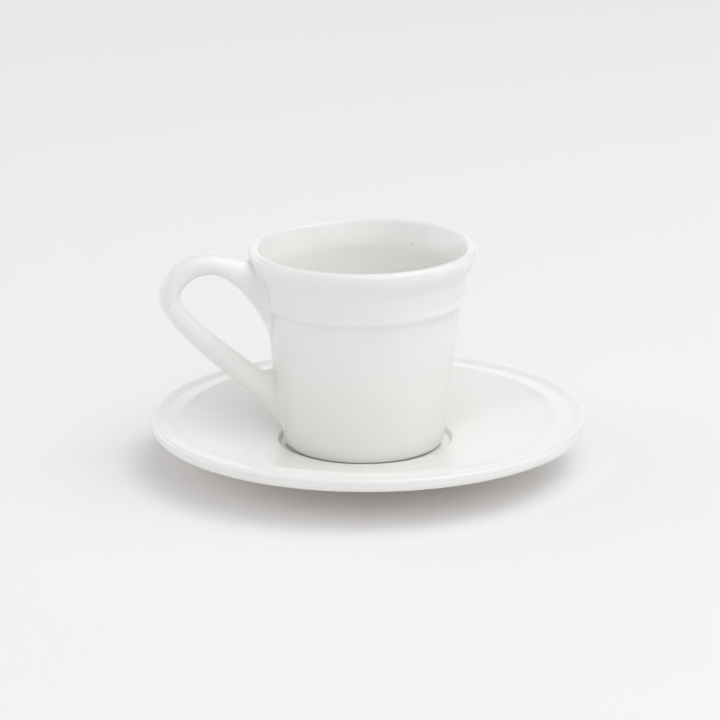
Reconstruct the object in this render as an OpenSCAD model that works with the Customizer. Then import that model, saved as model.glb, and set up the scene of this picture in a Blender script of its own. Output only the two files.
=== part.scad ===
// Espresso cup with saucer, white glazed stoneware.
// Millimetres, +Z up. The origin is on the table, under the middle of the saucer.
// The handle points along -X.

/* [Cup body] */
// Outer diameter over the rolled lip
cup_d = 65; // [62:0.5:70]
// Height from the standing ring to the top of the lip
cup_h = 58; // [56:0.5:63]
// Outer diameter of the body, just under the ridge
body_d = 55.2; // [53:0.1:55.5]
// How far the neck, just under the lip, stands out beyond the ridge
neck_flare = 0.6; // [0.2:0.1:1.2]
// Outer diameter of the body, just above the rounded base
base_d = 46.2; // [44:0.2:47]
// How far the long wall swells out between base and ridge
wall_swell = 0.45; // [0:0.05:0.8]
// Wall thickness at the base
base_wall = 2.4; // [2:0.1:3]
// Wall thickness at the neck
neck_wall = 3; // [2.6:0.1:3.2]
// Thickness of the floor, over the hollow of the foot
cup_floor = 3.7; // [3:0.1:5]
// Thickness of the rolled lip
lip_t = 3.2; // [2.8:0.1:3.8]

/* [Cup details] */
// Height of the lip band, from its top down to the neck
lip_band = 9.5; // [8.5:0.1:10.5]
// Height of the ridge's lower edge above the standing ring
ridge_z = 41.4; // [39:0.2:42.4]
// How far the ridge stands out from the body
ridge_out = 1.6; // [1.55:0.05:1.9]
// Radius of the ridge's roll
ridge_r = 0.9; // [0.6:0.05:0.9]
// Radius of the base's rounded corner
base_r = 2.6; // [2:0.1:3.2]
// Radius inside, between wall and floor
inside_r = 8; // [5:0.5:11]
// Width of the ring that the cup stands on
stand_w = 2.6; // [2:0.1:4]
// Depth of the hollow inside the standing ring
hollow_h = 1.3; // [1.1:0.1:2]

/* [Handle] */
// From the cup's axis to the outside of the loop
handle_reach = 58.4; // [55:0.2:63]
// Top of the loop above the cup's standing ring
handle_top = 58.2; // [57:0.2:60]
// Height of the widest point of the loop
loop_z = 46; // [44:0.2:48]
// Thickness of the strap, between finger gap and outside
strap_t = 6.2; // [5:0.1:7]
// Width of the strap
strap_w = 7; // [6:0.1:9]
// Width of the upper root, pressed on to neck and ridge
root_w = 12; // [9:0.2:14]
// Width of the lower root, pressed on to the body
tail_w = 10; // [7:0.2:12]
// Lower end of the upper root
upper_root_z = 31.5; // [30:0.5:35]
// Upper end of the lower root
lower_root_z = 25; // [23:0.5:27]
// Lower tip of the lower root
root_tip_z = 3.4; // [3:0.2:6]

/* [Saucer] */
// Outer diameter
saucer_d = 125; // [120:1:135]
// Height of the lip above the table
saucer_h = 15; // [14.6:0.1:17]
// Thickness of the rounded lip
rim_t = 3.7; // [3.2:0.1:4.2]
// Radius of the lip's upper edge
rim_edge_r = 1.1; // [0.8:0.1:1.4]
// Radius of the lip's lower edge
rim_under_r = 1.7; // [1.2:0.1:1.9]
// Diameter of the well that the cup stands in
well_d = 50.2; // [49.4:0.2:53]
// Depth of the well
well_depth = 1.5; // [1.2:0.1:2]
// Thickness of the clay under the well and the dish
clay_t = 3.8; // [3.2:0.1:4.4]
// Width of the rim, from the crest of the raised ring to the edge
rim_w = 8.3; // [7.4:0.1:10]
// Rise of the dish, from the edge of the well to the foot of the raised ring
dish_rise = 5.4; // [4.6:0.1:5.9]
// Rise of the raised ring above the dish
ring_rise = 1.4; // [1:0.1:1.8]
// Dip between the raised ring and the lip
rim_dip = 0.25; // [0.1:0.05:0.4]
// Outer diameter of the foot ring
foot_d = 55; // [52:0.5:60]
// Width of the foot ring on the table
foot_w = 2.8; // [2:0.1:4]
// Height of the hollow inside the foot ring
foot_h = 2.4; // [2:0.1:3]

/* [Hidden] */

// Small sizes of the cup: edge of the standing ring, fillet under the ridge, the angle
// at which the ridge's roll ends, the waist of the neck above it, and how far the wall
// leans out where the inside meets the lip's roll
stand_edge_r = 0.5;
ridge_fillet = 0.6;
ridge_end_angle = 30;
waist_rise = 1.6;
waist_in = 0.1;
lip_side_share = 0.93;
mouth_lean = 25;

// Small sizes of the saucer: run of each slope, fillets and edges of the foot ring
well_run = 1.3;
ring_run = 3;
dip_run = 3.6;
foot_edge_r = 0.5;
foot_lean = 0.9;
foot_fillet = 1.2;

// Handle: how far the strap reaches into the wall before it is trimmed to it, the top
// of the upper root below the lip, and the narrow ends of the finger gap and the tail
sink = 1.5;
root_top_drop = 2.8;
crotch_gap = 2.9;
crotch_drop = 2.1;
tail_gap = 4;
tail_z = 12;
loop_top_share = 0.56;
loop_lag_share = 0.3;
upper_flare_share = 0.24;
lower_flare_share = 0.2;

// The strap's two edges, outside and finger gap, run through four cubic stretches from
// the upper root to the tail. A pair gives a stretch's two inner control points, as
// shares of the box between its ends.
outer_bend_shares = [
    [[0.36, 0], [0.66, 1]],
    [[0.55, 0], [1, 0.45]],
    [[0, 0.28], [0.87, 0.84]],
    [[0.19, 0.24], [0.48, 0.65]]];
inner_bend_shares = [
    [[0.24, 0.37], [0.55, 0.98]],
    [[0.55, 0], [1, 0.45]],
    [[0, 0.17], [0.77, 0.8]],
    [[0.17, -0.24], [0.48, -0.12]]];
strap_steps = [12, 8, 14, 5];
strap_sides = 24;

corner_steps = 8;
slope_steps = 6;
wall_steps = 8;
$fn = 96;

// Points on an arc round c, from angle a to angle b
function arc(c, r, a, b, steps = corner_steps) =
    [for (i = [0:steps]) c + r * [cos(a + (b - a) * i / steps), sin(a + (b - a) * i / steps)]];

// Points on a soft slope from p to q, with the steepness dz/dr given at both ends
function slope(p, q, steep_p = 0, steep_q = 0, steps = slope_steps) =
    let (run = q[0] - p[0])
    [for (i = [0:steps]) let (t = i / steps, s = t * t * (3 - 2 * t))
        [p[0] + run * t,
         p[1] + (q[1] - p[1]) * s + run * t * (1 - t) * (steep_p * (1 - t) - steep_q * t)]];

// Points on a soft shoulder from p to q, with the lean dr/dz given at both ends
function shoulder(p, q, lean_p = 0, lean_q = 0, steps = slope_steps) =
    let (rise = q[1] - p[1])
    [for (i = [0:steps]) let (t = i / steps, s = t * t * (3 - 2 * t))
        [p[0] + (q[0] - p[0]) * s + rise * t * (1 - t) * (lean_p * (1 - t) - lean_q * t),
         p[1] + rise * t]];

// Points on a wall from p to q that swells outwards in the middle
function swelled(p, q, swell, steps = wall_steps) =
    [for (i = [0:steps]) let (t = i / steps)
        [p[0] + (q[0] - p[0]) * t + 4 * swell * t * (1 - t), p[1] + (q[1] - p[1]) * t]];

// A list without its first point, to join stretches that share it
function rest_of(points) = [for (i = [1:len(points) - 1]) points[i]];

// Outside of the cup, from the edge of the standing ring to the top of the lip
stand_r = base_d / 2 - base_r;
wall_lean = atan2((body_d - base_d) / 2, ridge_z - base_r);
wall_foot = [stand_r, base_r] + base_r * [cos(wall_lean), -sin(wall_lean)];
wall_top = [body_d / 2, ridge_z - ridge_fillet];
ridge_crest_r = body_d / 2 + ridge_out;
waist = [ridge_crest_r - waist_in, ridge_z + ridge_r + waist_rise];
neck_d = body_d + 2 * (ridge_out + neck_flare);
neck_r = neck_d / 2;
neck_top = [neck_r, cup_h - lip_band];
lip_r = lip_t / 2;
lip_c = [cup_d / 2 - lip_r, cup_h - lip_r];
lip_side = [cup_d / 2, neck_top[1] + lip_side_share * (lip_c[1] - neck_top[1])];

cup_outside = concat(
    arc([stand_r, base_r], base_r, -90, -wall_lean),
    rest_of(swelled(wall_foot, wall_top, wall_swell)),
    rest_of(arc(wall_top + [ridge_fillet, 0], ridge_fillet, 180, 90)),
    arc([ridge_crest_r - ridge_r, ridge_z + ridge_r], ridge_r, -90, ridge_end_angle),
    shoulder(waist, neck_top),
    rest_of(shoulder(neck_top, lip_side)),
    arc(lip_c, lip_r, 0, 90));

// Inside of the cup, from the top of the lip to the middle of the floor
floor_z = hollow_h + cup_floor;
inner_roll = arc(lip_c, lip_r, 90, 180 - mouth_lean);
mouth = inner_roll[len(inner_roll) - 1];
throat = [neck_r - neck_wall, neck_top[1]];
hip = [base_d / 2 - base_wall, floor_z];
inside_lean = atan2(throat[0] - hip[0], throat[1] - hip[1]);
inside_c = [hip[0] + inside_r * (tan(inside_lean) - 1 / cos(inside_lean)), floor_z + inside_r];

cup_inside = concat(
    rest_of(inner_roll),
    rest_of(shoulder(mouth, throat, tan(mouth_lean), tan(inside_lean))),
    arc(inside_c, inside_r, -inside_lean, -90),
    [[0, floor_z]]);

// Hollow under the cup, from the axis to the ring that it stands on
hollow_r = stand_r - stand_w;
cup_underside = concat(
    [[0, hollow_h]],
    arc([hollow_r - stand_edge_r, hollow_h - stand_edge_r], stand_edge_r, 90, 0),
    arc([hollow_r + stand_edge_r, stand_edge_r], stand_edge_r, 180, 270));

// Radius of the body's outside at height z, between base and ridge
function body_r(z) = let (t = (z - base_r) / (ridge_z - base_r))
    base_d / 2 + (body_d - base_d) / 2 * t + 4 * wall_swell * t * (1 - t);

// Top side of the saucer, from the middle of the well over the lip's upper edge
well_z = foot_h + clay_t;
well_edge = [well_d / 2 + well_run / 2, well_z + well_depth];
ring_d = saucer_d - 2 * rim_w;
ring_crest = [ring_d / 2, well_edge[1] + dish_rise + ring_rise];
ring_foot = ring_crest - [ring_run, ring_rise];
dish_steep = (ring_foot[1] - well_edge[1]) / (ring_foot[0] - well_edge[0]);
rim_edge_c = [saucer_d / 2 - rim_edge_r, saucer_h - rim_edge_r];
rim_under_c = [saucer_d / 2 - rim_under_r, saucer_h - rim_t + rim_under_r];

saucer_top = concat(
    [[0, well_z]],
    slope(well_edge - [well_run, well_depth], well_edge, 0, dish_steep),
    slope(ring_foot, ring_crest, dish_steep, 0),
    rest_of(slope(ring_crest, ring_crest + [dip_run, -rim_dip])),
    rest_of(slope(ring_crest + [dip_run, -rim_dip], rim_edge_c + [0, rim_edge_r])),
    rest_of(arc(rim_edge_c, rim_edge_r, 90, 0)));

// Underside of the saucer, from the lip to the middle
foot_r = foot_d / 2;
foot_root = [foot_r + foot_lean + foot_fillet,
    well_edge[1] + dish_steep * (foot_r + foot_lean + foot_fillet - well_edge[0]) - clay_t];
to_rim = rim_under_c - foot_root;
under_lean = atan2(to_rim[1], to_rim[0]) - asin(rim_under_r / norm(to_rim));
hollow_edge = foot_r - foot_w - foot_edge_r;

saucer_underside = concat(
    arc(rim_under_c, rim_under_r, 0, under_lean - 90),
    arc(foot_root - [0, foot_fillet], foot_fillet, 90, 180),
    arc([foot_r - foot_edge_r, foot_edge_r], foot_edge_r, 0, -90),
    arc([hollow_edge, foot_edge_r], foot_edge_r, 270, 180),
    arc([hollow_edge - foot_lean - foot_fillet, foot_h - foot_fillet], foot_fillet, 0, 90),
    [[0, foot_h]]);

// A point on the cubic stretch from p to q, whose inner control points are given as
// shares of the box between p and q
function on_stretch(p, q, shares, t) =
    let (box = q - p,
         a = p + [shares[0][0] * box[0], shares[0][1] * box[1]],
         b = p + [shares[1][0] * box[0], shares[1][1] * box[1]],
         s = 1 - t)
    s * s * s * p + 3 * s * s * t * a + 3 * s * t * t * b + t * t * t * q;

// Every point of one edge of the strap, from the upper root to the tail
function edge_line(ends, bend_shares) = concat(
    [for (k = [0:len(bend_shares) - 1]) for (i = [0:strap_steps[k] - 1])
        on_stretch(ends[k], ends[k + 1], bend_shares[k], i / strap_steps[k])],
    [ends[len(ends) - 1]]);

loop_top_r = neck_r + loop_top_share * (handle_reach - neck_r);
outer_ends = [
    [neck_r - sink, cup_h - root_top_drop],
    [loop_top_r, handle_top],
    [handle_reach, loop_z],
    [body_r(tail_z) + tail_gap, tail_z],
    [body_r(root_tip_z) - sink, root_tip_z]];
inner_ends = [
    [body_r(upper_root_z) - sink, upper_root_z],
    [loop_top_r - loop_lag_share * strap_t, handle_top - strap_t],
    [handle_reach - strap_t, loop_z - loop_lag_share * strap_t / 2],
    [body_r(lower_root_z) + crotch_gap, lower_root_z - crotch_drop],
    [body_r(lower_root_z) - sink, lower_root_z]];

// Width of the strap at share t of its way: wide roots that flow into an even strap
function strap_width(t) =
    let (upper = max(0, 1 - t / upper_flare_share), lower = max(0, 1 - (1 - t) / lower_flare_share))
    strap_w + (root_w - strap_w) * upper * upper + (tail_w - strap_w) * lower * lower;

// One oval section of the strap, between its outer and inner edge
function section(outer, inner, width) =
    let (mid = (outer + inner) / 2, half = (outer - inner) / 2)
    [for (k = [0:strap_sides - 1]) let (a = 360 * k / strap_sides, p = mid + half * cos(a))
        [-p[0], width / 2 * sin(a), p[1]]];

// The handle's strap, a closed skin over its sections
module strap() {
    outer = edge_line(outer_ends, outer_bend_shares);
    inner = edge_line(inner_ends, inner_bend_shares);
    last = len(outer) - 1;
    points = [for (j = [0:last]) each section(outer[j], inner[j], strap_width(j / last))];
    skin = [for (j = [0:last - 1]) for (k = [0:strap_sides - 1])
        let (a = j * strap_sides + k, b = j * strap_sides + (k + 1) % strap_sides)
        each [[b, a, a + strap_sides], [b, a + strap_sides, b + strap_sides]]];
    root_cap = [for (k = [0:strap_sides - 1]) k];
    tail_cap = [for (k = [1:strap_sides]) (last + 1) * strap_sides - k];
    polyhedron(points, concat(skin, [root_cap, tail_cap]));
}

// The cup's outer form as one solid, to trim the handle's roots to the wall
module cup_form() {
    rotate_extrude() polygon(concat([[0, 0]], cup_outside, [[0, cup_h]]));
}

module cup_body() {
    color("whitesmoke") translate([0, 0, well_z])
        rotate_extrude() polygon(concat(cup_underside, cup_outside, cup_inside));
}

module cup_handle() {
    color("white") translate([0, 0, well_z]) difference() {
        strap();
        cup_form();
    }
}

module saucer() {
    color("snow") rotate_extrude() polygon(concat(saucer_top, saucer_underside));
}

cup_body();
cup_handle();
saucer();
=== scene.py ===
"""Espresso cup with its saucer: a tapered stoneware cup with a loop handle, standing in the
well of a shallow saucer, both under one glossy white glaze. Metres, +Z up."""

import math

import bpy
from mathutils import Matrix, Vector


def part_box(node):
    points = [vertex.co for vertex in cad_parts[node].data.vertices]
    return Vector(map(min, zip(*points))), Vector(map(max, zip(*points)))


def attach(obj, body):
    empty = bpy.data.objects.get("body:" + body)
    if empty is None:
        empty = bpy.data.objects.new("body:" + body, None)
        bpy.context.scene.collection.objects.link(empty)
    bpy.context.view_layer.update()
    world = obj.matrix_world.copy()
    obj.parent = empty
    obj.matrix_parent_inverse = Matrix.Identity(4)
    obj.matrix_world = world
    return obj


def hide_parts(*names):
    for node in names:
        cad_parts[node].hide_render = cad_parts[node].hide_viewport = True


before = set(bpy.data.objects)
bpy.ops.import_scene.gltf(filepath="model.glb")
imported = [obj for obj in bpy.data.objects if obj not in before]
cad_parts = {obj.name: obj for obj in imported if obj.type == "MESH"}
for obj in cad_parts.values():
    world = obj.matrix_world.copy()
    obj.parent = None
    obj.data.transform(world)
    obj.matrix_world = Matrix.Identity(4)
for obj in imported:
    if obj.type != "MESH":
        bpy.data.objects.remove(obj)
bpy.ops.object.select_all(action="DESELECT")
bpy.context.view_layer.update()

# Saucer: a plate of white stoneware, jiggered over a mould in one piece with its well, its
# raised ring and its foot ring, glazed all over and wiped bare where it stands. Its rim has
# drawn a little in the fire, off the middle of the well and away from the handle.
MM = 0.001
saucer_low, saucer_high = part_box("saucer")
saucer_r = saucer_high.x
saucer_top_z = saucer_high.z
rim_t = 3.7 * MM
well_r = 25.1 * MM
well_depth = 1.5 * MM
well_run = 1.3 * MM
clay_t = 3.8 * MM
rim_w = 8.3 * MM
dish_rise = 6 * MM
ring_rise = 0.8 * MM
ring_run = 2.6 * MM
rim_dip = 0.2 * MM
dip_run = 3.6 * MM
rim_edge_r = 1.1 * MM
rim_under_r = 1.7 * MM
foot_r = 27.5 * MM
foot_w = 2.8 * MM
foot_h = 2.4 * MM
foot_edge_r = 0.5 * MM
foot_lean = 0.9 * MM
foot_fillet = 1.2 * MM
weld_gap = 0.001 * MM
THROWN_STEPS = 128
FLAT_STEPS = 10
DISH_STEPS = 12


def arc(centre, radius, start, end, steps=8):
    """Points (r, z) on a round stretch of an outline, between two angles in degrees."""
    turns = [math.radians(start + (end - start) * k / steps) for k in range(steps + 1)]
    return [(centre[0] + radius * math.cos(a), centre[1] + radius * math.sin(a)) for a in turns]


def slope(p, q, steep_p=0.0, steep_q=0.0, steps=8):
    """Points on a soft slope from p to q, as steep as given at both ends."""
    run, rise = q[0] - p[0], q[1] - p[1]
    points = []
    for k in range(steps + 1):
        t = k / steps
        bend = t * (1 - t) * (steep_p * (1 - t) - steep_q * t)
        points.append((p[0] + run * t, p[1] + rise * t * t * (3 - 2 * t) + run * bend))
    return points


def even(p, q, steps):
    """Points between p and q, without both ends."""
    return [
        (p[0] + (q[0] - p[0]) * k / steps, p[1] + (q[1] - p[1]) * k / steps)
        for k in range(1, steps)
    ]


def throw(name, outline):
    """Turns an outline of points (r, z), with both ends on the Z axis, as on a wheel."""
    start = Vector((outline[0][0], 0, outline[0][1]))
    bpy.ops.mesh.primitive_plane_add(size=MM, location=start)
    pot = bpy.context.object
    pot.name = name
    bpy.ops.object.transform_apply(location=True, rotation=False, scale=False)
    bpy.ops.object.mode_set(mode="EDIT")
    bpy.ops.mesh.select_all(action="SELECT")
    bpy.ops.mesh.merge(type="CENTER")
    for old, new in zip(outline, outline[1:]):
        step = (new[0] - old[0], 0, new[1] - old[1])
        bpy.ops.mesh.extrude_region_move(TRANSFORM_OT_translate={"value": step})
    bpy.ops.mesh.select_all(action="SELECT")
    bpy.ops.mesh.spin(steps=THROWN_STEPS, angle=2 * math.pi, center=(0, 0, 0), axis=(0, 0, 1))
    bpy.ops.mesh.select_all(action="SELECT")
    bpy.ops.mesh.remove_doubles(threshold=weld_gap)
    bpy.ops.mesh.normals_make_consistent(inside=False)
    bpy.ops.object.mode_set(mode="OBJECT")
    return pot


def take(piece):
    """Selects this piece alone, for the operators that follow, and nothing of its mesh."""
    bpy.ops.object.select_all(action="DESELECT")
    piece.select_set(True)
    bpy.context.view_layer.objects.active = piece
    bpy.ops.object.mode_set(mode="EDIT")
    bpy.ops.mesh.select_all(action="DESELECT")
    bpy.ops.object.mode_set(mode="OBJECT")


def finish_smooth(piece, levels=1):
    """Subdivides a piece for good and shades it smooth."""
    take(piece)
    rounded = piece.modifiers.new("rounded", "SUBSURF")
    rounded.levels = levels
    rounded.render_levels = levels
    bpy.ops.object.modifier_apply(modifier=rounded.name)
    bpy.ops.object.shade_smooth()


def push(piece, chosen, by, reach):
    """Moves the chosen vertices by a vector and draws the clay within reach along."""
    take(piece)
    for v in piece.data.vertices:
        v.select = chosen(v.co)
    bpy.ops.object.mode_set(mode="EDIT")
    bpy.ops.transform.translate(
        value=by,
        use_proportional_edit=True,
        proportional_edit_falloff="SMOOTH",
        proportional_size=reach,
    )
    bpy.ops.object.mode_set(mode="OBJECT")


well_z = foot_h + clay_t
well_edge = (well_r + well_run / 2, well_z + well_depth)
ring_crest = (saucer_r - rim_w, well_edge[1] + dish_rise + ring_rise)
ring_foot = (ring_crest[0] - ring_run, ring_crest[1] - ring_rise)
dish_steep = (ring_foot[1] - well_edge[1]) / (ring_foot[0] - well_edge[0])
rim_edge_c = (saucer_r - rim_edge_r, saucer_top_z - rim_edge_r)
rim_under_c = (saucer_r - rim_under_r, saucer_top_z - rim_t + rim_under_r)
dip = (ring_crest[0] + dip_run, ring_crest[1] - rim_dip)
well_foot = (well_edge[0] - well_run, well_z)
foot_root_r = foot_r + foot_lean + foot_fillet
foot_root = (foot_root_r, well_edge[1] + dish_steep * (foot_root_r - well_edge[0]) - clay_t)
to_rim = (rim_under_c[0] - foot_root[0], rim_under_c[1] - foot_root[1])
under_lean = math.degrees(
    math.atan2(to_rim[1], to_rim[0]) - math.asin(rim_under_r / math.hypot(*to_rim))
)
hollow_edge = foot_r - foot_w - foot_edge_r
hollow_c = (hollow_edge - foot_lean - foot_fillet, foot_h - foot_fillet)
rim_under = arc(rim_under_c, rim_under_r, 0, under_lean - 90)

saucer_outline = [(0, well_z)]
saucer_outline += even((0, well_z), well_foot, FLAT_STEPS)
saucer_outline += slope(well_foot, well_edge, 0, dish_steep)
saucer_outline += even(well_edge, ring_foot, DISH_STEPS)
saucer_outline += slope(ring_foot, ring_crest, dish_steep, 0)
saucer_outline += slope(ring_crest, dip)[1:]
saucer_outline += slope(dip, (rim_edge_c[0], saucer_top_z))[1:]
saucer_outline += arc(rim_edge_c, rim_edge_r, 90, 0)[1:]
saucer_outline += rim_under
saucer_outline += even(rim_under[-1], foot_root, DISH_STEPS)
saucer_outline += arc((foot_root[0], foot_root[1] - foot_fillet), foot_fillet, 90, 180)
saucer_outline += arc((foot_r - foot_edge_r, foot_edge_r), foot_edge_r, 0, -90)
saucer_outline += arc((hollow_edge, foot_edge_r), foot_edge_r, 270, 180)
saucer_outline += arc(hollow_c, foot_fillet, 0, 90)
saucer_outline += even((hollow_c[0], foot_h), (0, foot_h), FLAT_STEPS)
saucer_outline += [(0, foot_h)]

saucer = throw("saucer_glazed", saucer_outline)
finish_smooth(saucer)

# In the fire the rim has drawn off the middle of the well, away from the handle
rim_drift = Vector((1.58, -0.28, 0)) * MM
drift_reach = 33 * MM
push(saucer, lambda co: math.hypot(co.x, co.y) > saucer_r - rim_t, rim_drift, drift_reach)

# The well is not quite round either: its edge is drawn in a little on the handle's side
well_draw = Vector((0.9, -0.16, 0)) * MM
well_reach = 14 * MM
well_edge_w = 1 * MM
well_side_share = 0.8


def on_well_edge(co):
    """Says whether a point is on the edge of the well, on the handle's side."""
    near = math.hypot(co.x, co.y) < well_edge[0] + well_edge_w
    return near and co.z > well_z and co.x < -well_side_share * well_r


push(saucer, on_well_edge, well_draw, well_reach)

# The white glaze lies in faint clouds and its skin in slow waves, each as wide as given
# here, and iron in the clay shows through it as a small brown speck.
glaze_white = "#F3F3F1"
glaze_pooled = "#EFEFED"
speck_brown = "#8F8373"
bare_clay = "#CFC3B1"
glaze_ior = 1.5
glaze_roughness = 0.2
clay_roughness = 0.75
cloud_w = 14 * MM
cloud_detail = 3.0
wave_w = 6 * MM
wave_detail = 2.0
wave_depth = 0.05 * MM
wave_strength = 0.25
wipe_run = 0.25 * MM
speck_r = 0.5 * MM
speck_core_r = 0.25 * MM
speck_depth = 0.2


def linear(code):
    """An sRGB hex colour as the linear colour that a shader takes."""
    parts = [int(code[k:k + 2], 16) / 255 for k in (1, 3, 5)]
    return [p / 12.92 if p <= 0.04045 else ((p + 0.055) / 1.055) ** 2.4 for p in parts] + [1.0]


def add_node(tree, kind, links=(), **settings):
    """Adds a node, sets its sockets and properties, and links (socket, source) pairs."""
    node = tree.nodes.new(kind)
    for key, value in settings.items():
        if hasattr(node, key):
            setattr(node, key, value)
        else:
            node.inputs[key.replace("_", " ")].default_value = value
    for socket, source in links:
        tree.links.new(source, node.inputs[socket])
    return node


def glazed_stoneware(name, bare_below, speck=None):
    """Stoneware under a clear glossy glaze over white slip: an even, faintly clouded white
    with soft reflections, an iron speck from the clay, and bare clay where it was wiped off."""
    material = bpy.data.materials.new(name)
    material.use_nodes = True
    tree = material.node_tree
    shader = tree.nodes["Principled BSDF"]
    shader.inputs["IOR"].default_value = glaze_ior
    place = add_node(tree, "ShaderNodeTexCoord").outputs["Object"]
    cloud = add_node(
        tree, "ShaderNodeTexNoise", [("Vector", place)], Scale=1 / cloud_w, Detail=cloud_detail
    )
    white = add_node(tree, "ShaderNodeMix", [("Factor", cloud.outputs["Fac"])], data_type="RGBA")
    white.inputs["A"].default_value = linear(glaze_white)
    white.inputs["B"].default_value = linear(glaze_pooled)
    colour = white.outputs["Result"]
    if speck:
        away = add_node(tree, "ShaderNodeVectorMath", [(0, place)], operation="DISTANCE")
        away.inputs[1].default_value = speck
        spot = add_node(
            tree, "ShaderNodeMapRange", [("Value", away.outputs["Value"])],
            From_Min=speck_core_r, From_Max=speck_r, To_Min=speck_depth, To_Max=0.0,
        )
        iron = add_node(
            tree, "ShaderNodeMix", [("Factor", spot.outputs["Result"])], data_type="RGBA"
        )
        tree.links.new(colour, iron.inputs["A"])
        iron.inputs["B"].default_value = linear(speck_brown)
        colour = iron.outputs["Result"]
    height = add_node(tree, "ShaderNodeSeparateXYZ", [("Vector", place)])
    wiped = add_node(
        tree, "ShaderNodeMapRange", [("Value", height.outputs["Z"])],
        From_Min=bare_below, From_Max=bare_below + wipe_run,
    )
    coat = add_node(tree, "ShaderNodeMix", [("Factor", wiped.outputs["Result"])], data_type="RGBA")
    coat.inputs["A"].default_value = linear(bare_clay)
    tree.links.new(colour, coat.inputs["B"])
    tree.links.new(coat.outputs["Result"], shader.inputs["Base Color"])
    dull = add_node(
        tree, "ShaderNodeMapRange", [("Value", wiped.outputs["Result"])],
        To_Min=clay_roughness, To_Max=glaze_roughness,
    )
    tree.links.new(dull.outputs["Result"], shader.inputs["Roughness"])
    waves = add_node(
        tree, "ShaderNodeTexNoise", [("Vector", place)], Scale=1 / wave_w, Detail=wave_detail
    )
    bump = add_node(
        tree, "ShaderNodeBump", [("Height", waves.outputs["Fac"])],
        Strength=wave_strength, Distance=wave_depth,
    )
    tree.links.new(bump.outputs["Normal"], shader.inputs["Normal"])
    return material


saucer_wipe_h = 0.15 * MM
saucer.data.materials.append(glazed_stoneware("saucer_glaze", saucer_low.z + saucer_wipe_h))
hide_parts("saucer")
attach(saucer, "saucer")

# Cup body: one pot of the same clay, turned with a rolled lip, a plain neck, a ridge under
# it and a tapered wall, on a standing ring round a shallow hollow.
cup_low, cup_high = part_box("cup_body")
cup_z = cup_low.z
cup_r = cup_high.x
cup_h = cup_high.z - cup_z
body_r = 27.6 * MM
base_wide_r = 23.1 * MM
wall_swell = 0.45 * MM
base_wall = 2.4 * MM
neck_wall = 3 * MM
floor_t = 3.7 * MM
lip_t = 3.2 * MM
lip_band = 8.4 * MM
lip_side_share = 0.93
ridge_z = 41.4 * MM
ridge_out = 1.6 * MM
ridge_r = 2.3 * MM
ridge_fillet = 0.5 * MM
waist_rise = 1.2 * MM
waist_in = 0.16 * MM
neck_flare = 0.5 * MM
base_r = 2.6 * MM
inside_r = 8 * MM
stand_w = 2.6 * MM
hollow_h = 1.3 * MM
stand_edge_r = 0.5 * MM
cup_wipe_h = 0.6 * MM
BASE_STEPS = 12
FLOOR_STEPS = 8
CREASE_STEPS = 4
NECK_STEPS = 6
LIP_STEPS = 14

# In degrees: the ridge's lean inwards at its top, the turn of the crease under it, and how
# far the mouth opens
ridge_lean = 10
fillet_turn = 22
mouth_lean = 25


def shoulder(p, q, lean_p=0.0, lean_q=0.0, steps=10):
    """Points on a soft shoulder from p to q, leaning out by dr/dz as given at both ends."""
    run, rise = q[0] - p[0], q[1] - p[1]
    points = []
    for k in range(steps + 1):
        t = k / steps
        bend = t * (1 - t) * (lean_p * (1 - t) - lean_q * t)
        points.append((p[0] + run * t * t * (3 - 2 * t) + rise * bend, p[1] + rise * t))
    return points


def swelled(p, q, swell, steps=14):
    """Points on a wall from p to q that swells outwards in the middle."""
    points = []
    for k in range(steps + 1):
        t = k / steps
        out = 4 * swell * t * (1 - t)
        points.append((p[0] + (q[0] - p[0]) * t + out, p[1] + (q[1] - p[1]) * t))
    return points


stand_r = base_wide_r - base_r
wall_lean = math.atan2(body_r - base_wide_r, ridge_z - base_r)
wall_foot = (stand_r + base_r * math.cos(wall_lean), base_r - base_r * math.sin(wall_lean))
wall_top = (body_r, ridge_z - ridge_fillet)
crest_r = body_r + ridge_out
ridge_under = math.degrees(math.acos((ridge_r - ridge_out) / ridge_r))
ridge_c = (crest_r - ridge_r, ridge_z + ridge_r * math.sin(math.radians(ridge_under)))
ridge_foot = fillet_turn - ridge_under
ridge_line = arc(ridge_c, ridge_r, ridge_foot, ridge_lean)
ridge_foot_lean = -math.tan(math.radians(ridge_foot))
ridge_top_lean = -math.tan(math.radians(ridge_lean))
waist = (crest_r - waist_in, ridge_line[-1][1] + waist_rise)
neck_r = crest_r + neck_flare
neck_top = (neck_r, cup_h - lip_band)
neck_lean = (neck_top[0] - waist[0]) / (neck_top[1] - waist[1])
lip_r = lip_t / 2
lip_c = (cup_r - lip_r, cup_h - lip_r)
lip_side = (cup_r, neck_top[1] + lip_side_share * (lip_c[1] - neck_top[1]))
lip_roll = arc(lip_c, lip_r, 0, 180 - mouth_lean, LIP_STEPS)
floor_z = hollow_h + floor_t
throat = (neck_r - neck_wall, neck_top[1])
hip = (base_wide_r - base_wall, floor_z)
inside_lean = math.atan2(throat[0] - hip[0], throat[1] - hip[1])
inside_c = (
    hip[0] + inside_r * (math.tan(inside_lean) - 1 / math.cos(inside_lean)),
    floor_z + inside_r,
)
corner = arc(inside_c, inside_r, -math.degrees(inside_lean), -90, BASE_STEPS)
hollow_r = stand_r - stand_w
hollow_top = (hollow_r - stand_edge_r, hollow_h)

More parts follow.
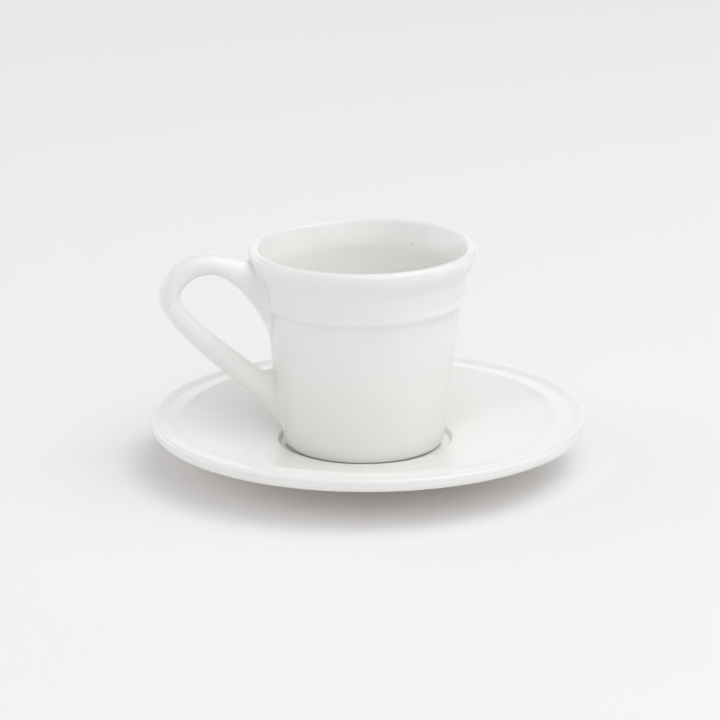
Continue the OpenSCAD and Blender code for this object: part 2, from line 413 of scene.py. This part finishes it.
cup_outline = [(0, hollow_h)]
cup_outline += even((0, hollow_h), hollow_top, FLOOR_STEPS)
cup_outline += arc((hollow_top[0], hollow_h - stand_edge_r), stand_edge_r, 90, 0)
cup_outline += arc((hollow_r + stand_edge_r, stand_edge_r), stand_edge_r, 180, 270)
cup_outline += arc((stand_r, base_r), base_r, -90, -math.degrees(wall_lean), BASE_STEPS)
cup_outline += swelled(wall_foot, wall_top, wall_swell)[1:]
cup_outline += shoulder(
    wall_top, ridge_line[0], math.tan(wall_lean), ridge_foot_lean, CREASE_STEPS
)[1:]
cup_outline += ridge_line[1:]
cup_outline += shoulder(ridge_line[-1], waist, ridge_top_lean, neck_lean, CREASE_STEPS)[1:]
cup_outline += even(waist, neck_top, NECK_STEPS)
cup_outline += shoulder(neck_top, lip_side, neck_lean)
cup_outline += lip_roll
cup_outline += shoulder(
    lip_roll[-1], throat, math.tan(math.radians(mouth_lean)), math.tan(inside_lean)
)[1:]
cup_outline += even(throat, corner[0], BASE_STEPS)
cup_outline += corner
cup_outline += even(corner[-1], (0, floor_z), FLOOR_STEPS)
cup_outline += [(0, floor_z)]

cup_body = throw("cup_glazed", [(r, cup_z + z) for r, z in cup_outline])

# Turned by hand, the lip lifts a little behind, away from the handle
lip_lift = Vector((0, 0, 0.6)) * MM
lip_reach = 22 * MM
lift_side_share = 0.3
lift_back_share = 0.7


def on_back_lip(co):
    """Says whether a point is on the lip, behind and on the side away from the handle."""
    behind = co.x > lift_side_share * cup_r and co.y > lift_back_share * cup_r
    return behind and co.z > cup_z + lip_c[1]


push(cup_body, on_back_lip, lip_lift, lip_reach)
finish_smooth(cup_body)
inside_speck = Vector((18.1, 20.3, 52.4)) * MM + Vector((0, 0, cup_z))
cup_body.data.materials.append(glazed_stoneware("cup_glaze", cup_z + cup_wipe_h, inside_speck))
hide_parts("cup_body")
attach(cup_body, "cup")

# Handle: a pulled strap of the same clay, bent to a loop, whose two roots are wetted and
# smeared on to the wall, so that they flare out and flow into it under the glaze.
handle_low, handle_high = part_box("cup_handle")
handle_reach = -handle_low.x
handle_top = handle_high.z - cup_z
loop_z = 46 * MM
strap_t = 6.2 * MM
strap_w = 7 * MM
root_w = 12 * MM
tail_w = 8 * MM
upper_root_z = 31.5 * MM
lower_root_z = 25 * MM
sink = 1.5 * MM
root_top_drop = 2.8 * MM
crotch_gap = 2.9 * MM
crotch_drop = 2.1 * MM
tail_gap = 4 * MM
tail_z = 12 * MM
loop_top_share = 0.56
loop_lag_share = 0.3
upper_flare_share = 0.24
lower_flare_share = 0.2
outer_bend_shares = [
    ((0.36, 0), (0.66, 1)),
    ((0.55, 0), (1, 0.45)),
    ((0, 0.28), (0.87, 0.84)),
]
inner_bend_shares = [
    ((0.24, 0.37), (0.55, 0.98)),
    ((0.55, 0), (1, 0.45)),
    ((0, 0.17), (0.77, 0.8)),
]
strap_steps = [12, 8, 14]
first_free_step = 4
tail_steps = 5
STRAP_SIDES = 24


def wall_r(z):
    """Radius of the cup's wall at a height between its base and its ridge."""
    t = (z - base_r) / (ridge_z - base_r)
    return base_wide_r + (body_r - base_wide_r) * t + 4 * wall_swell * t * (1 - t)


def on_stretch(p, q, shares, t):
    """A point on the cubic stretch from p to q, with inner control points as shares of its box."""
    a, b = [(p[0] + s[0] * (q[0] - p[0]), p[1] + s[1] * (q[1] - p[1])) for s in shares]
    s = 1 - t
    return tuple(
        s * s * s * p[k] + 3 * s * s * t * a[k] + 3 * s * t * t * b[k] + t * t * t * q[k]
        for k in (0, 1)
    )


def edge_line(ends, bend_shares):
    """Every point of one edge of the strap, from the upper root to the tail."""
    points = []
    for k, shares in enumerate(bend_shares):
        steps = strap_steps[k]
        points += [on_stretch(ends[k], ends[k + 1], shares, i / steps) for i in range(steps)]
    return points + [ends[-1]]


def strap_width(t):
    """Width of the strap at share t of its way."""
    upper = max(0, 1 - t / upper_flare_share)
    lower = max(0, 1 - (1 - t) / lower_flare_share)
    return strap_w + (root_w - strap_w) * upper ** 2 + (tail_w - strap_w) * lower ** 2


def station(outer, inner, width):
    """A ring of the strap: its centre, the angle from inner to outer edge, and half sizes."""
    centre = Vector((-(outer[0] + inner[0]) / 2, 0, cup_z + (outer[1] + inner[1]) / 2))
    across = Vector((inner[0] - outer[0], 0, outer[1] - inner[1]))
    angle = math.atan2(across.z, across.x) % (2 * math.pi)
    return centre, angle, across.length / 2, width / 2


loop_top_r = neck_r + loop_top_share * (handle_reach - neck_r)
outer_ends = [
    (neck_r - sink, cup_h - root_top_drop),
    (loop_top_r, handle_top),
    (handle_reach, loop_z),
    (wall_r(tail_z) + tail_gap, tail_z),
]
inner_ends = [
    (wall_r(upper_root_z) - sink, upper_root_z),
    (loop_top_r - loop_lag_share * strap_t, handle_top - strap_t),
    (handle_reach - strap_t, loop_z - loop_lag_share * strap_t / 2),
    (wall_r(lower_root_z) + crotch_gap, lower_root_z - crotch_drop),
]
outer_line = edge_line(outer_ends, outer_bend_shares)
inner_line = edge_line(inner_ends, inner_bend_shares)
last_step = len(outer_line) - 1
way_steps = last_step + tail_steps

# Each root has three rings on the wall: the corner where its side meets its pad, the pad's
# rounded border, and the edge that is smeared on to the wall
upper_root_rs = [32 * MM, 32.2 * MM, 32.4 * MM]
upper_root_tops = [55.3 * MM, 55.9 * MM, 56.3 * MM]
upper_foot_r = 27.4 * MM
upper_root_feet = [34.5 * MM, 32.4 * MM, 31.5 * MM]
upper_root_widths = [11 * MM, 14.6 * MM, 16.4 * MM]
lower_top_r = 26.2 * MM
lower_root_tops = [23 * MM, 25.1 * MM, 25.8 * MM]
lower_foot_r = 24.2 * MM
lower_root_feet = [5.5 * MM, 4.2 * MM, 3.6 * MM]
lower_root_widths = [7 * MM, 13.2 * MM, 15.2 * MM]

upper_rings = [
    station((top_r, top), (upper_foot_r, foot), width)
    for top_r, top, foot, width in zip(
        upper_root_rs, upper_root_tops, upper_root_feet, upper_root_widths
    )
]
lower_rings = [
    station((lower_foot_r, foot), (lower_top_r, top), width)
    for top, foot, width in zip(lower_root_tops, lower_root_feet, lower_root_widths)
]
stations = upper_rings[::-1]
stations += [
    station(outer_line[k], inner_line[k], strap_width(k / way_steps))
    for k in range(first_free_step, last_step + 1)
]
stations += lower_rings

centre, angle, half_t, half_w = stations[0]
bpy.ops.mesh.primitive_circle_add(
    vertices=STRAP_SIDES, radius=half_t, location=centre, rotation=(0, -angle, 0)
)
handle = bpy.context.object
handle.name = "handle_glazed"
bpy.ops.object.transform_apply(location=True, rotation=True, scale=True)
bpy.ops.object.mode_set(mode="EDIT")
bpy.ops.mesh.select_all(action="SELECT")
bpy.ops.transform.resize(value=(1, half_w / half_t, 1), center_override=centre)
for next_centre, next_angle, next_t, next_w in stations[1:]:
    slim, narrow = next_t / half_t, next_w / half_w
    bpy.ops.mesh.extrude_region_move(TRANSFORM_OT_translate={"value": next_centre - centre})
    bpy.ops.transform.rotate(
        value=next_angle - angle, orient_axis="Y", center_override=next_centre
    )
    bpy.ops.transform.resize(value=(slim, narrow, slim), center_override=next_centre)
    centre, angle, half_t, half_w = next_centre, next_angle, next_t, next_w
bpy.ops.object.mode_set(mode="OBJECT")


def settle(piece, name, indices, above):
    """Lays the vertices on the cup's wall, above its surface or, below zero, under it."""
    group = piece.vertex_groups.new(name=name)
    group.add(indices, 1.0, "REPLACE")
    wrap = piece.modifiers.new(name, "SHRINKWRAP")
    wrap.target = cup_body
    wrap.wrap_method = "NEAREST_SURFACEPOINT"
    wrap.wrap_mode = "ABOVE_SURFACE" if above >= 0 else "INSIDE"
    wrap.offset = abs(above)
    wrap.vertex_group = name
    bpy.ops.object.modifier_apply(modifier=wrap.name)


# A pad stands proud of the wall on both sides of its root and runs out level with it on top
pad_t = 0.8 * MM
pad_side = 3.2 * MM
lower_pad_top = 20 * MM
upper_pad_top = 53 * MM
strap_levels = 2
ring_count = len(stations)
edge_rings = (0, ring_count - 1)
pad_rings = (1, 2, ring_count - 3, ring_count - 2)
on_wall = [ring * STRAP_SIDES + k for ring in edge_rings + pad_rings for k in range(STRAP_SIDES)]
proud = []
for ring in pad_rings:
    top = cup_z + (upper_pad_top if ring < ring_count / 2 else lower_pad_top)
    for v in handle.data.vertices[ring * STRAP_SIDES:(ring + 1) * STRAP_SIDES]:
        if abs(v.co.y) > pad_side and v.co.z < top:
            proud.append(v.index)
settle(handle, "roots", on_wall, 0)
settle(handle, "pads", proud, pad_t)
finish_smooth(handle, strap_levels)

# The open ends are turned in under the wall's surface and closed there
sunk = 0.6 * MM
smear_depth = 0.03 * MM
smooth_turn = math.radians(50)
take(handle)
bpy.ops.object.mode_set(mode="EDIT")
bpy.ops.mesh.select_mode(type="EDGE")
bpy.ops.mesh.select_non_manifold()
bpy.ops.mesh.select_mode(type="VERT")
bpy.ops.object.mode_set(mode="OBJECT")
edge = [v.index for v in handle.data.vertices if v.select]
settle(handle, "smeared", edge, -smear_depth)
bpy.ops.object.mode_set(mode="EDIT")
bpy.ops.mesh.extrude_region_move(TRANSFORM_OT_translate={"value": (sunk, 0, 0)})
bpy.ops.mesh.edge_face_add()
bpy.ops.mesh.select_all(action="SELECT")
bpy.ops.mesh.normals_make_consistent(inside=False)
bpy.ops.object.mode_set(mode="OBJECT")
bpy.ops.object.shade_smooth_by_angle(angle=smooth_turn)

# The handle stands clear of whatever the cup is put down on, so none of it is wiped bare
handle_speck = Vector((-55.9, -3.3, 44.3)) * MM + Vector((0, 0, cup_z))
handle.data.materials.append(glazed_stoneware("handle_glaze", cup_z, handle_speck))
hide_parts("cup_handle")
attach(handle, "cup")

# Table: a seamless white sheet that the set is photographed on, wide enough to fill the view.
# The sheet also glows faintly warm, a painted glow that lightens and warms the shadow under the
# saucer and hardly shows elsewhere.
sheet_w = 6.0
sheet_white = "#EFF1F3"
sheet_roughness = 0.9
sheet_specular = 0.2
# Painted glow: the sheet's own faint warm emission, which lifts the shadow under the saucer
sheet_painted_glow = "#FFD6BA"
sheet_painted_glow_strength = 0.052
bpy.ops.mesh.primitive_plane_add(size=sheet_w, location=(0, 0, 0))
table = bpy.context.object
table.name = "table_sheet"
sheet = bpy.data.materials.new("white_sheet")
sheet.use_nodes = True
sheet_shader = sheet.node_tree.nodes["Principled BSDF"]
sheet_shader.inputs["Base Color"].default_value = linear(sheet_white)
sheet_shader.inputs["Roughness"].default_value = sheet_roughness
sheet_shader.inputs["Specular IOR Level"].default_value = sheet_specular
sheet_shader.inputs["Emission Color"].default_value = linear(sheet_painted_glow)
sheet_shader.inputs["Emission Strength"].default_value = sheet_painted_glow_strength
table.data.materials.append(sheet)

# Studio light: a white tent lit from outside. Panels in front, high on the right and overhead
# make the main light, low or weaker ones at the back and at both sides bring out the edges,
# and the pale room fills in.
panel_distance = 1.8
room_white = "#FFFFFF"
room_level = 0.41


def panel(name, azimuth, elevation, wide, high, watts):
    """A soft panel aimed at the set, at angles from the front and above the table."""
    a, e = math.radians(azimuth), math.radians(elevation)
    way = Vector((math.sin(a) * math.cos(e), -math.cos(a) * math.cos(e), math.sin(e)))
    bpy.ops.object.light_add(type="AREA", location=way * panel_distance)
    lamp = bpy.context.object
    lamp.name = name
    lamp.rotation_euler = way.to_track_quat("Z", "Y").to_euler()
    lamp.data.shape = "RECTANGLE"
    lamp.data.size = wide
    lamp.data.size_y = high
    lamp.data.energy = watts


panel("front_panel", azimuth=0, elevation=33, wide=2.2, high=1.1, watts=6.2)
panel("high_front_panel", azimuth=30, elevation=55, wide=1.6, high=1.1, watts=4.6)
panel("high_right_panel", azimuth=90, elevation=55, wide=1.6, high=1.1, watts=6.2)
panel("right_panel", azimuth=80, elevation=12, wide=1.6, high=0.9, watts=2.2)
panel("back_panel", azimuth=180, elevation=12, wide=2.2, high=0.9, watts=4.2)
panel("back_left_panel", azimuth=240, elevation=12, wide=2.2, high=0.9, watts=7.6)
panel("left_panel", azimuth=270, elevation=33, wide=1.5, high=1.1, watts=2.0)
panel("top_panel", azimuth=60, elevation=74, wide=1.5, high=1.5, watts=6.2)
room = bpy.data.worlds.new("pale_room")
room.use_nodes = True
room.node_tree.nodes["Background"].inputs["Color"].default_value = linear(room_white)
room.node_tree.nodes["Background"].inputs["Strength"].default_value = room_level
bpy.context.scene.world = room
bpy.context.scene.view_settings.view_transform = "Standard"

# Camera: a long lens, a little above the rim, with the handle to the left and turned a
# touch towards the lens.
view_azimuth = math.radians(-10)
view_height = math.radians(16.503)
view_roll = math.radians(-0.356)
view_distance = 1000 * MM
aim_side = -0.95 * MM
aim_z = 30.52 * MM
lens_mm = 174.9
side = Vector((math.cos(view_azimuth), math.sin(view_azimuth), 0))
back = Vector((
    math.sin(view_azimuth) * math.cos(view_height),
    -math.cos(view_azimuth) * math.cos(view_height),
    math.sin(view_height),
))
aim = side * aim_side + Vector((0, 0, aim_z))
turned = back.to_track_quat("Z", "Y").to_matrix() @ Matrix.Rotation(view_roll, 3, "Z")
bpy.ops.object.camera_add(location=aim + back * view_distance, rotation=turned.to_euler())
camera = bpy.context.object
camera.data.lens = lens_mm
bpy.context.scene.camera = camera
